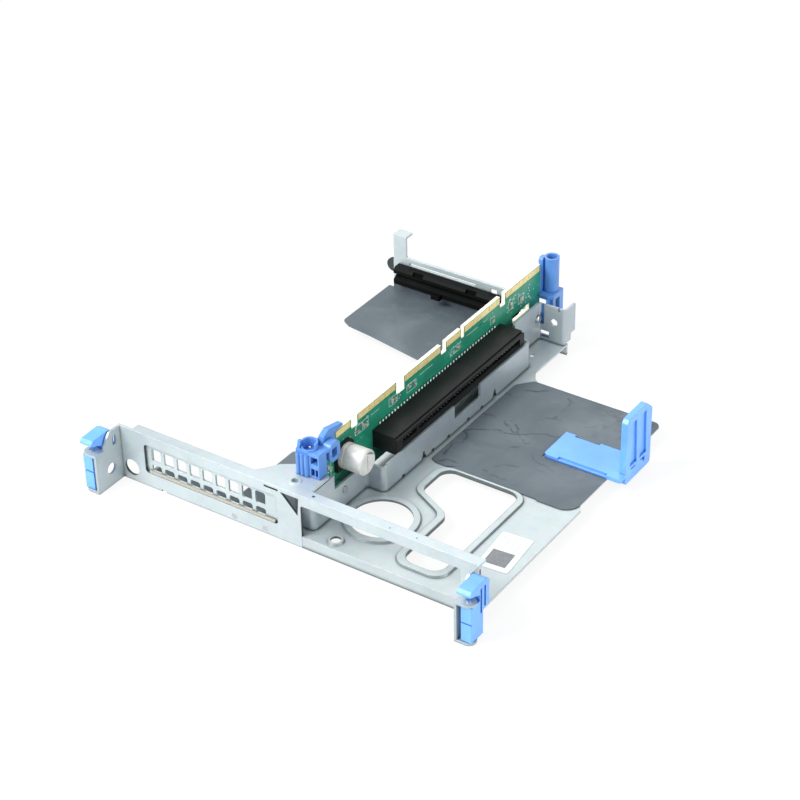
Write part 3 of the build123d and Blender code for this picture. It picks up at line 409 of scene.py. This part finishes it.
def blue_plastic(name, depth):
    """Moulded light blue plastic with a soft translucent look and painted shade in its corners;
    depth lightens or deepens the blue to paint light or shade.
    """
    s = Shade(name)
    s.set(Specular_IOR_Level=0.5, Subsurface_Weight=0.12, Coat_Weight=0.12, Coat_Roughness=0.2,
          Subsurface_Radius=(0.0008, 0.0012, 0.002))
    cloud = s.noise(60.0, 4.0, 0.55)
    fine = s.noise(2200.0, 2.0, 0.5)
    tones = ((0.3, (0.110, 0.31, 0.82)), (0.6, (0.140, 0.37, 0.89)), (0.8, (0.175, 0.43, 0.93)))
    colour = s.ramp(cloud, deepened(tones, depth))
    # Painted shade in the plastic's corners and contact lines
    colour = s.paint_crease_shade(colour, (0.02, 0.09, 0.42), reach=0.0016, low=0.15, high=0.8)
    s.feed(Base_Color=colour, Roughness=s.span(cloud, 0.27, 0.42))
    s.bump(s.math("ADD", fine, s.product(cloud, 1.5)), 0.10, 0.00015, edge=0.00028)
    return s.mat


def black_plastic(name, shine, depth):
    """Matte moulded plastic, near black, with a slight warm cast."""
    s = Shade(name)
    s.set(Specular_IOR_Level=shine)
    cloud = s.noise(90.0, 5.0, 0.6)
    fine = s.noise(2600.0, 2.0, 0.5)
    tones = ((0.3, (0.008, 0.009, 0.009)), (0.6, (0.013, 0.014, 0.014)),
             (0.82, (0.024, 0.024, 0.023)))
    s.feed(Base_Color=s.ramp(cloud, deepened(tones, depth)), Roughness=s.span(cloud, 0.34, 0.52))
    s.bump(fine, 0.12, 0.00012, edge=0.00020)
    return s.mat


def dark_film():
    """Grey polymer film: long waves, branching wrinkles with painted shade along their folds,
    scuffs and fine scratches.
    """
    s = Shade("dark_film")
    s.set(Specular_IOR_Level=0.30)
    wave = s.noise(30.0, 3.0, 0.5, distortion=0.8)
    scuff = s.noise(120.0, 6.0, 0.7)
    lines = s.noise(300.0, 2.0, 0.5, vector=s.mapped((1.0, 0.06, 1.0), (0, 0, 0.5)))
    bent = s.texture("ShaderNodeTexNoise", inputs=(("Scale", 70.0),))
    twisted = s.mix(0.010, s.mapped((0.55, 1.0, 1.0), (0, 0, 0.7)), bent.outputs["Color"], "ADD")
    folds = s.voronoi(85.0, feature="DISTANCE_TO_EDGE", vector=twisted)
    patches = s.rise(s.noise(95.0, 3.0, 0.6), 0.49, 0.56)
    reach = s.above("X", FILM_WRINKLES_X, FILM_WRINKLES_REACH)
    near_board = s.ramp(reach, [(0.22, NONE), (0.27, FULL), (0.55, (0.6, 0.6, 0.6)),
                                (0.9, (0.1, 0.1, 0.1))])
    wrinkle = s.product(s.product(s.fall(folds, 0.0, 0.045), patches), near_board)
    tones = [(0.3, (0.070, 0.090, 0.106)), (0.52, (0.098, 0.122, 0.140)),
             (0.75, (0.150, 0.178, 0.195))]
    colour = s.ramp(wave, tones)
    colour = s.mix(s.product(s.rise(scuff, 0.58, 0.75), 0.22), colour, SCUFF_COLOUR)
    colour = s.mix(s.span(lines, 0.0, 0.08), colour, SCUFF_COLOUR)
    mottle = s.rise(s.noise(260.0, 5.0, 0.75, distortion=1.0), 0.52, 0.62)
    worn = s.rise(s.noise(26.0, 1.0, 0.4), 0.54, 0.62)
    worn = s.product(worn, s.product(s.above("X", FILM_WORN_X, FILM_WORN_REACH), 0.6))
    colour = s.mix(s.product(mottle, worn), colour, (0.040, 0.050, 0.058))
    # Painted shade darkens the colour along the wrinkle folds
    colour = s.mix(s.product(wrinkle, 0.75), colour, (0.028, 0.034, 0.042))
    s.feed(Base_Color=colour, Roughness=s.span(scuff, 0.36, 0.54))
    height = s.math("ADD", s.product(wave, 7.0), s.product(scuff, 0.5))
    s.bump(s.math("SUBTRACT", height, s.product(wrinkle, 1.2)), 0.45, 0.0005)
    return s.mat


def board_green():
    """Solder mask over copper traces and planes, with bare cream laminate at the edges."""
    s = Shade("board_green")
    s.set(Specular_IOR_Level=0.5, Coat_Weight=0.35, Coat_Roughness=0.12, Roughness=0.38)
    inputs = (("Scale", 1.0), ("Mortar Size", 0.055), ("Color1", (0, 0, 0, 1)),
              ("Color2", (0.25, 0.25, 0.25, 1)), ("Mortar", (1, 1, 1, 1)))
    vector = s.mapped((620.0, 310.0, 620.0), (0, math.pi / 2, math.pi / 2))
    traces = s.texture("ShaderNodeTexBrick", vector, inputs).outputs["Color"]
    planes = s.rise(s.noise(70.0, 2.0, 0.4), 0.47, 0.50)
    colour = s.mix(s.product(planes, 0.55), (0.008, 0.190, 0.108), (0.016, 0.280, 0.165))
    colour = s.mix(s.product(traces, 0.20), colour, (0.05, 0.42, 0.28))
    vias = s.fall(s.voronoi(330.0), 0.10, 0.14)
    colour = s.mix(s.product(vias, 0.55), colour, (0.34, 0.60, 0.46))
    fibre = s.noise(1200.0, 3.0, 0.6, vector=s.mapped((1.0, 0.2, 1.0)))
    bare = s.ramp(fibre, [(0.35, (0.80, 0.76, 0.58)), (0.65, (0.93, 0.91, 0.78))])
    s.feed(Base_Color=s.mix(s.fall(s.facing("X"), 0.75, 0.85), colour, bare))
    s.bump(s.math("ADD", s.product(traces, 0.5), s.noise(1500.0, 2.0)), 0.15, 0.0001)
    return s.mat


def finger_gold():
    """Gold-plated edge fingers with green gaps between them and solder mask over their feet."""
    s = Shade("gold_plate")
    s.set(Metallic=0.25, Specular_IOR_Level=0.5)
    tarnish = s.noise(500.0, 4.0, 0.6)
    gold = s.ramp(tarnish, [(0.3, (0.84, 0.62, 0.24)), (0.55, (0.92, 0.73, 0.34)),
                            (0.8, (0.98, 0.84, 0.50))])
    step = s.math("FRACT", s.product(s.part(s.coord, "Y"), 1000.0 / FINGER_PITCH))
    gap = s.ramp(step, [(0.0, FULL), (0.16, FULL), (0.20, NONE)])
    colour = s.mix(s.product(gap, 0.35), gold, (0.30, 0.42, 0.16))
    top = 1000 * max(vert.co.z for vert in NODES["edge_contacts"].data.vertices)
    mask = s.ramp(tarnish, [(0.3, (0.010, 0.22, 0.125)), (0.7, (0.030, 0.33, 0.20))])
    bare = s.above("Z", top - FINGER_BARE, EDGE_SOFT)
    s.feed(Base_Color=s.mix(bare, mask, colour), Roughness=s.span(tarnish, 0.22, 0.36))
    s.bump(s.math("SUBTRACT", tarnish, gap), 0.15, 0.0001)
    return s.mat


def plated(name, tones, rough, metallic=1.0):
    """A plated metal with fine tarnish."""
    s = Shade(name)
    s.set(Metallic=metallic)
    tarnish = s.noise(400.0, 4.0, 0.6)
    s.feed(Base_Color=s.ramp(tarnish, tones), Roughness=s.span(tarnish, *rough))
    s.bump(tarnish, 0.08, 0.0001, edge=0.0001)
    return s.mat


def contact_metal():
    """Bright spring contacts whose tails on the board are covered by solder mask."""
    s = Shade("contact_metal")
    s.set(Metallic=0.3)
    tarnish = s.noise(500.0, 4.0, 0.6)
    bright = s.ramp(tarnish, [(0.3, (0.62, 0.62, 0.58)), (0.7, (0.86, 0.86, 0.82))])
    mask = s.ramp(tarnish, [(0.3, (0.008, 0.09, 0.05)), (0.7, (0.02, 0.15, 0.09))])
    on_springs = s.above("X", CONTACT_TAILS_X, EDGE_SOFT)
    s.feed(Base_Color=s.mix(on_springs, mask, bright), Roughness=s.span(tarnish, 0.28, 0.44))
    s.bump(tarnish, 0.08, 0.0001)
    return s.mat


def gasket_fabric():
    """Woven beige strip."""
    s = Shade("gasket_fabric")
    s.set(Sheen_Weight=0.3, Roughness=0.75)
    warp = s.texture("ShaderNodeTexWave", inputs=(("Scale", 520.0),))
    weft = s.texture("ShaderNodeTexWave", inputs=(("Scale", 700.0),), bands_direction="Z")
    weave = s.product(warp.outputs["Fac"], weft.outputs["Fac"])
    s.feed(Base_Color=s.ramp(weave, [(0.0, (0.30, 0.28, 0.23)), (0.7, (0.58, 0.56, 0.49))]))
    s.bump(weave, 0.5, 0.0002)
    return s.mat


def label_paper():
    """Plain matte label stock."""
    s = Shade("label_paper")
    s.set(Roughness=0.6)
    fibre = s.noise(1800.0, 4.0, 0.7)
    s.feed(Base_Color=s.ramp(fibre, [(0.3, (0.62, 0.66, 0.67)), (0.7, (0.74, 0.77, 0.78))]))
    s.bump(fibre, 0.1, 0.0001)
    return s.mat


def print_ink(name, dark, light):
    """Matte ink of a plain field, slightly uneven."""
    s = Shade(name)
    s.set(Roughness=0.62, Specular_IOR_Level=0.25)
    grain = s.noise(1500.0, 4.0, 0.7)
    s.feed(Base_Color=s.ramp(grain, [(0.35, dark), (0.65, light)]))
    s.bump(grain, 0.08, 0.00008)
    return s.mat


def chip_ceramic():
    """Small soldered parts: tan and bright grey mixed in fine specks."""
    s = Shade("chip_ceramic")
    s.set(Roughness=0.4, Metallic=0.2)
    grains = s.voronoi(600.0, out="Color")
    speck = s.noise(900.0, 3.0)
    colour = s.ramp(speck, [(0.35, (0.30, 0.25, 0.18)), (0.55, (0.52, 0.50, 0.46)),
                            (0.7, (0.70, 0.72, 0.72))])
    s.feed(Base_Color=s.mix(0.2, colour, grains, "OVERLAY"))
    s.bump(speck, 0.1, 0.0001)
    return s.mat


def dress(material, *names):
    """Gives CAD nodes one material."""
    for name in names:
        node = NODES[name]
        node.data.materials.clear()
        node.data.materials.append(material)


TIN = plated("tin_plate", [(0.3, (0.78, 0.80, 0.80)), (0.7, (0.95, 0.96, 0.95))],
             (0.30, 0.45), metallic=0.25)
CAN = plated("aluminium_can", [(0.3, (0.58, 0.58, 0.55)), (0.7, (0.69, 0.69, 0.66))],
             (0.38, 0.50), metallic=0.20)
SOLDER = plated("solder_bright", [(0.3, (0.82, 0.86, 0.84)), (0.7, (0.97, 0.98, 0.97))],
                (0.35, 0.50), metallic=0.05)
FASTENER = plated("fastener_steel", [(0.3, (0.48, 0.50, 0.52)), (0.7, (0.72, 0.74, 0.76))],
                  (0.22, 0.38))
FILM = dark_film()
ALONG_X = (0.04, 1.0, 1.0)
ALONG_Y = (1.0, 0.04, 1.0)
ZINC_TRAY = zinc_sheet("zinc_sheet_tray", ALONG_Y, (0.49, 0.55, 0.56), tray_edges)

dress(ZINC_TRAY, "base_tray")
# A darker copy of the zinc: painted shade for the bracket, which stands in shade
dress(zinc_sheet("zinc_sheet_bracket", ALONG_Y, (0.43, 0.49, 0.52)), "board_bracket")
dress(zinc_sheet("zinc_sheet_filler", ALONG_X), "blank_filler")
dress(zinc_sheet("zinc_sheet_wall", ALONG_X, finish_and_shade=wall_edges), "io_wall")
dress(zinc_sheet("zinc_sheet_rail", ALONG_X, finish_and_shade=rail_end), "rear_rail")
dress(gasket_fabric(), "emi_gasket")
dress(board_green(), "riser_board")
dress(finger_gold(), "edge_contacts")
dress(black_plastic("black_plastic", shine=0.22, depth=1.0), "slot_housing", "capacitor_base")
dress(black_plastic("guide_black", shine=0.05, depth=0.4), "card_guide")
dress(contact_metal(), "slot_contacts")
dress(CAN, "capacitor_can")
dress(chip_ceramic(), "board_components")
# One blue plastic in two copies: depth 1.12 lightens it as painted light on the slider and
# latches, and depth 0.72 deepens it as painted shade on the clip and post
dress(blue_plastic("blue_plastic", 1.12), "card_support_slider", "left_latch", "right_latch")
dress(blue_plastic("blue_plastic_painted_shade", 0.72), "front_guide_clip", "rear_guide_post")
dress(FILM, "right_insulator", "left_insulator", "corner_insulator")
dress(label_paper(), "blank_label")
dress(FASTENER, "latch_pivots", "board_standoffs", "board_screws", "rivets")


def piece(name, build, material, body="cage"):
    """A new piece from a function that fills a mesh, riding on one body."""
    mesh = bpy.data.meshes.new(name)
    bm = bmesh.new()
    build(bm)
    bm.normal_update()
    bm.to_mesh(mesh)
    bm.free()
    mesh.materials.append(material)
    made = bpy.data.objects.new(name, mesh)
    bpy.context.scene.collection.objects.link(made)
    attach(made, body)


def add_box(bm, x0, x1, y0, y1, z0, z1, turn=0.0, centre=(0.0, 0.0)):
    """A box between two corners in working millimetres, turned about a point."""
    made = bmesh.ops.create_cube(bm, size=1.0)["verts"]
    for vert in made:
        x = x0 + (vert.co.x + 0.5) * (x1 - x0)
        y = y0 + (vert.co.y + 0.5) * (y1 - y0)
        z = z0 + (vert.co.z + 0.5) * (z1 - z0)
        dx, dy = x - centre[0], y - centre[1]
        x = centre[0] + dx * math.cos(turn) - dy * math.sin(turn)
        y = centre[1] + dx * math.sin(turn) + dy * math.cos(turn)
        vert.co = at(x, y, z)


def add_dome(bm, x, y, z, rx, ry, rz):
    """A small rounded blob."""
    made = bmesh.ops.create_icosphere(bm, subdivisions=1, radius=1.0)["verts"]
    for vert in made:
        vert.co = at(x + vert.co.x * rx, y + vert.co.y * ry, z + vert.co.z * rz)


def add_skin(bm, low, high):
    """A band of faces between two closed rings of vertices."""
    for index in range(len(low)):
        after = (index + 1) % len(low)
        bm.faces.new((low[index], low[after], high[after], high[index]))


def add_closed_skin(bm, rings):
    """A closed ring of material, skinned from the rings of its section."""
    for low, high in zip(rings, rings[1:] + rings[:1]):
        add_skin(bm, low, high)
    bmesh.ops.recalc_face_normals(bm, faces=bm.faces)


def solder_joints(bm):
    """One row of small solder joints above the card slot."""
    for index in range(JOINT_COUNT):
        add_dome(bm, JOINT_X, JOINT_START + index * JOINT_PITCH, JOINT_Z, *JOINT_SIZE)


def silk_marks(bm):
    """Plain outlines and ticks printed on the board."""
    line = SILK_LINE
    for y, z, w, h in SILK_FRAMES:
        add_box(bm, *SILK_X, y, y + w, z, z + line)
        add_box(bm, *SILK_X, y, y + w, z + h - line, z + h)
        add_box(bm, *SILK_X, y, y + line, z, z + h)
        add_box(bm, *SILK_X, y + w - line, y + w, z, z + h)
    for y, w in SILK_TICKS:
        add_box(bm, *SILK_X, y, y + w, SILK_TICK_Z, SILK_TICK_Z + line)


def solder_pads(bm):
    """Bare pads and test points beside the small parts."""
    pads = random.Random(PAD_SEED)
    for y0, z0, w, h, count in PAD_GROUPS:
        for _ in range(count):
            y = y0 + pads.random() * w
            z = z0 + pads.random() * h
            long_side, short_side = PAD_SIDES
            if pads.random() < 0.5:
                long_side, short_side = short_side, long_side
            add_box(bm, *PAD_X, y, y + long_side, z, z + short_side)


def can_mark(bm):
    """A plain dark segment printed on the end of the can."""
    rims = []
    for x in (CAN_FACE, CAN_FACE + MARK_THICK):
        rim = []
        for index in range(MARK_STEPS + 1):
            angle = math.radians(MARK_FROM + MARK_SWEEP * index / MARK_STEPS)
            y = CAN_Y + MARK_RADIUS * math.cos(angle)
            z = CAN_Z + MARK_RADIUS * math.sin(angle)
            rim.append(bm.verts.new(at(x, y, z)))
        rims.append(rim)
    back, front = rims
    bm.faces.new(front)
    bm.faces.new(back[::-1])
    add_skin(bm, back, front)
    bmesh.ops.recalc_face_normals(bm, faces=bm.faces)


def rounded(corners, radius, steps=6):
    """Points of a closed outline with its corners rounded."""
    points = []
    count = len(corners)
    for index in range(count):
        here = Vector(corners[index])
        back = (Vector(corners[index - 1]) - here).normalized()
        ahead = (Vector(corners[(index + 1) % count]) - here).normalized()
        half = back.angle(ahead) / 2
        centre = here + (back + ahead).normalized() * (radius / math.sin(half))
        start = here + back * (radius / math.tan(half)) - centre
        end = here + ahead * (radius / math.tan(half)) - centre
        sweep = start.angle_signed(end)
        for step in range(steps + 1):
            turned = start.copy()
            turned.rotate(Matrix.Rotation(-sweep * step / steps, 2))
            points.append(centre + turned)
    return points


def boot_corners(grow):
    """Corners of the tray's long cut-out, grown by the width of its bead."""
    left, right, heel = BOOT_LEFT - grow, BOOT_RIGHT + grow, BOOT_HEEL - grow
    front = BOOT_FRONT - grow
    back = BOOT_BACK + min(grow, BOOT_BACK_BEAD)
    kink = BOOT_KINK_GROWTH * grow
    return [
        (left, back), (right, back), (right, front), (heel, front),
        (heel, BOOT_KINK_LOW - kink), (left, BOOT_KINK_HIGH - kink),
    ]


def boot_bead(bm):
    """The pressed bead around the long cut-out, raised from the tray."""
    outer = rounded(boot_corners(BEAD_WIDTH), BEAD_OUTER_CORNER)
    inner = rounded(boot_corners(0.0), BEAD_INNER_CORNER)
    rings = []
    for share, z in BEAD_SECTION:
        ring = []
        for out, into in zip(outer, inner):
            x, y = into + (out - into) * share
            ring.append(bm.verts.new(at(x, y, z)))
        rings.append(ring)
    add_closed_skin(bm, rings)


def shelf_shade_sheet(bm):
    """Dark film sheet on the tray's shelf: painted shade, seen through the lower windows of the
    filler.
    """
    add_box(bm, *SHELF_SHADE_SHEET)


def bar_dots(bm):
    """Two small dark spots on the bar above the input window, as low domes."""
    for x, y in BAR_DOTS:
        add_dome(bm, x, y, BAR_TOP, DOT_RADIUS, DOT_RADIUS, DOT_RISE)


def wall_boss(bm):
    """A flanged screw boss near the far end of the board's bracket."""
    rings = []
    for share, radius in BOSS_SECTION:
        x = BOSS_FACE + share * BOSS_THICK
        ring = []
        for index in range(BOSS_STEPS):
            angle = 2 * math.pi * index / BOSS_STEPS
            y = BOSS_Y + radius * math.cos(angle)
            z = BOSS_Z + radius * math.sin(angle)
            ring.append(bm.verts.new(at(x, y, z)))
        rings.append(ring)
    add_closed_skin(bm, rings)


def add_print(bm, x, y):
    """A thin printed field on the label, from its x and y ranges off the centre."""
    cx, cy = LABEL_CENTRE
    add_box(bm, cx + x[0], cx + x[1], cy + y[0], cy + y[1],
            LABEL_TOP, LABEL_TOP + INK_THICK, LABEL_TURN, LABEL_CENTRE)


def label_block(bm):
    """One plain square field on the label."""
    add_print(bm, SQUARE_X, SQUARE_Y)


def label_bars(bm):
    """Plain pale bars on the label."""
    for offset, length in LABEL_BARS:
        add_print(bm, (offset, offset + LABEL_BAR_WIDTH),
                  (LABEL_BAR_START, LABEL_BAR_START + length))


SILK = print_ink("silk_white", (0.62, 0.70, 0.64), (0.80, 0.86, 0.80))
FIELD = print_ink("label_grey", (0.16, 0.17, 0.18), (0.24, 0.25, 0.26))
PALE = print_ink("label_pale", (0.50, 0.53, 0.55), (0.60, 0.63, 0.65))

piece("boot_bead", boot_bead, ZINC_TRAY)
# A dark sheet that paints the shade behind the filler's lower windows
piece("shelf_shade_sheet", shelf_shade_sheet, FILM)
piece("wall_boss", wall_boss, FASTENER)
piece("bar_dots", bar_dots, FIELD)
piece("solder_joints", solder_joints, SOLDER)
piece("silk_marks", silk_marks, SILK)
piece("solder_pads", solder_pads, TIN)
piece("can_mark", can_mark, FIELD)
piece("label_block", label_block, FIELD)
piece("label_bars", label_bars, PALE)


def white_floor():
    """A pale floor that is white to the camera and keeps the shadow."""
    mesh = bpy.data.meshes.new("floor")
    bm = bmesh.new()
    bmesh.ops.create_grid(bm, x_segments=1, y_segments=1, size=FLOOR_SIZE)
    bm.to_mesh(mesh)
    bm.free()
    floor = bpy.data.objects.new("floor", mesh)
    floor.location = (0, 0, (FLOOR_Z - FLOOR_DROP) / 1000)
    bpy.context.scene.collection.objects.link(floor)
    mat = bpy.data.materials.new("floor_white")
    nodes = Nodes(mat)
    diffuse = nodes.node("ShaderNodeBsdfDiffuse")
    diffuse.inputs["Color"].default_value = FLOOR_COLOUR
    glow = nodes.node("ShaderNodeEmission")
    glow.inputs["Strength"].default_value = 1.0
    path = nodes.node("ShaderNodeLightPath")
    seen = path.outputs["Is Camera Ray"]
    for ray in ("Is Glossy Ray", "Is Transmission Ray"):
        seen = nodes.math("ADD", seen, path.outputs[ray], clamp=True)
    mix = nodes.node("ShaderNodeMixShader")
    nodes.link(nodes.product(seen, FLOOR_GLOW), mix.inputs[0])
    nodes.link(diffuse.outputs[0], mix.inputs[1])
    nodes.link(glow.outputs[0], mix.inputs[2])
    nodes.link(mix.outputs[0], nodes.node("ShaderNodeOutputMaterial").inputs["Surface"])
    mesh.materials.append(mat)


def world_light():
    """Soft surround, bright above and in front, white to the camera."""
    world = bpy.data.worlds.new("surround")
    bpy.context.scene.world = world
    nodes = Nodes(world)
    dot = nodes.node("ShaderNodeVectorMath", operation="DOT_PRODUCT")
    dot.inputs[1].default_value = Vector(SKY_BRIGHT).normalized()
    nodes.link(nodes.node("ShaderNodeTexCoord").outputs["Generated"], dot.inputs[0])
    level = nodes.node("ShaderNodeMapRange", interpolation_type="SMOOTHSTEP")
    for name, value in SKY_LEVELS:
        level.inputs[name].default_value = value
    nodes.link(dot.outputs["Value"], level.inputs["Value"])
    soft = nodes.node("ShaderNodeBackground")
    soft.inputs["Color"].default_value = SKY_COLOUR
    nodes.link(level.outputs[0], soft.inputs["Strength"])
    white = nodes.node("ShaderNodeBackground")
    white.inputs["Strength"].default_value = 1.0
    path = nodes.node("ShaderNodeLightPath")
    mix = nodes.node("ShaderNodeMixShader")
    nodes.link(path.outputs["Is Camera Ray"], mix.inputs[0])
    nodes.link(soft.outputs[0], mix.inputs[1])
    nodes.link(white.outputs[0], mix.inputs[2])
    nodes.link(mix.outputs[0], nodes.node("ShaderNodeOutputWorld").inputs["Surface"])


def area_light(name, place, aim, size, power):
    """A square soft light aimed at a point."""
    data = bpy.data.lights.new(name, "AREA")
    data.shape = "SQUARE"
    data.size = size
    data.energy = power
    light = bpy.data.objects.new(name, data)
    light.location = place
    light.rotation_euler = (Vector(aim) - Vector(place)).to_track_quat("-Z", "Y").to_euler()
    bpy.context.scene.collection.objects.link(light)


def photo_camera():
    """The camera of the photograph, from its fitted angles and distance."""
    turn, lift, roll = (math.radians(v) for v in (CAMERA_TURN, CAMERA_LIFT, CAMERA_ROLL))
    level = math.cos(lift)
    ahead = Vector((-math.sin(turn) * level, math.cos(turn) * level, -math.sin(lift)))
    right = Vector((math.cos(turn), math.sin(turn), 0))
    up = right.cross(ahead)
    across = right * math.cos(roll) + up * math.sin(roll)
    over = up * math.cos(roll) - right * math.sin(roll)
    matrix = Matrix((across, over, -ahead)).transposed().to_4x4()
    matrix.translation = at(*CAMERA_PLACE)
    data = bpy.data.cameras.new("photo_camera")
    data.sensor_width = CAMERA_SENSOR
    data.lens = CAMERA_LENS
    data.clip_start = CAMERA_CLIP
    camera = bpy.data.objects.new("photo_camera", data)
    camera.matrix_world = matrix
    bpy.context.scene.collection.objects.link(camera)
    bpy.context.scene.camera = camera


white_floor()
world_light()
for light_name, light_place, light_aim, light_size, light_power in LIGHTS:
    area_light(light_name, at(*light_place), at(*light_aim), light_size, light_power)
photo_camera()
bpy.context.scene.view_settings.view_transform = "Standard"
